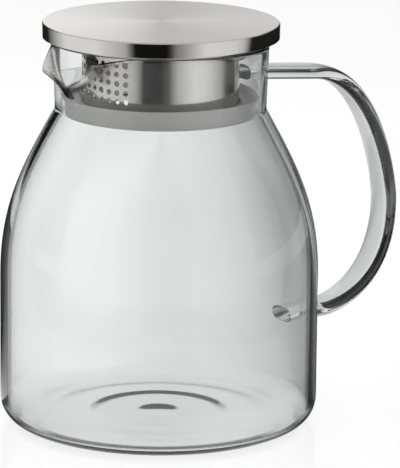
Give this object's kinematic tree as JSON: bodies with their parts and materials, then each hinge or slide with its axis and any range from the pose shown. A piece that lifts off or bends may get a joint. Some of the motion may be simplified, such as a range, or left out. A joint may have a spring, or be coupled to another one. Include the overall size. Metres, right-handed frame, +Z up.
{
  "type": "glass jug",
  "caption": "Clear glass serving jug with a pinched spout, a glass strap handle and a push-in steel lid whose perforated strainer turns in a silicone seal.",
  "frame": {"origin": "middle of the object's footprint box at table height: the jug's own axis is at x = -0.0268 m, y = 0", "axes": "+Z up along the jug's axis, -X towards the spout, +X towards the handle"},
  "size_m": [0.1888, 0.135, 0.1722],
  "materials": {
    "body_glass": "clear, fire-polished",
    "handle_glass": "clear, fire-polished",
    "lid_steel": "circular brushed",
    "pan_steel": "satin",
    "strainer_steel": "fine brushed",
    "silicone": "matte, translucent"
  },
  "bodies": {
    "jug": {"glass_body": "body_glass", "handle": "handle_glass"},
    "seal": {"seal_ring": "silicone"},
    "lid": {"lid_cap": "lid_steel", "lid_pan": "pan_steel", "strainer_sleeve": "strainer_steel"}
  },
  "joints": [
    {"name": "lid_lift", "type": "slide", "parent": "jug", "child": "seal", "axis": [0, 0, 1], "range_m": [0, 0.04]},
    {"name": "lid_turn", "type": "hinge", "parent": "seal", "child": "lid", "pos_m": [-0.02683, 0, 0.15], "axis": [0, 0, 1], "continuous": true}
  ]
}
